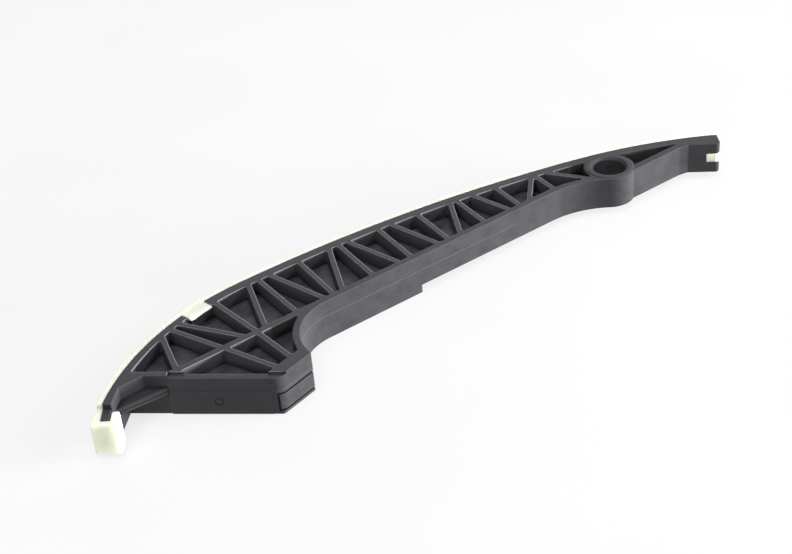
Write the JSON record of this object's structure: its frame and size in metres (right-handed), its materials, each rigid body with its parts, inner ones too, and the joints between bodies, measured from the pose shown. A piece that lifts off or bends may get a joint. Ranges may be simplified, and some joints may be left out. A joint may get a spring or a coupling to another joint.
{
  "type": "timing chain guide",
  "caption": "Curved swinging chain guide: black truss-ribbed moulding with a pivot bore and tensioner pad, and a pale slide lining clipped along its convex side.",
  "frame": {"origin": "on the axis of the pivot bore, at the parting plane midway between the slender half's two side faces", "axes": "+X along the straight back wall towards the short pivot-side end, +Y from the back wall towards the chain, +Z along the pivot bore, away from the deeper side of the wide end"},
  "size_m": [0.2677, 0.056, 0.0154],
  "materials": {
    "glass_filled_nylon": "satin moulded",
    "natural_nylon": "smooth moulded"
  },
  "bodies": {
    "root": {"carrier": "glass_filled_nylon", "slide_lining": "natural_nylon"}
  },
  "joints": []
}
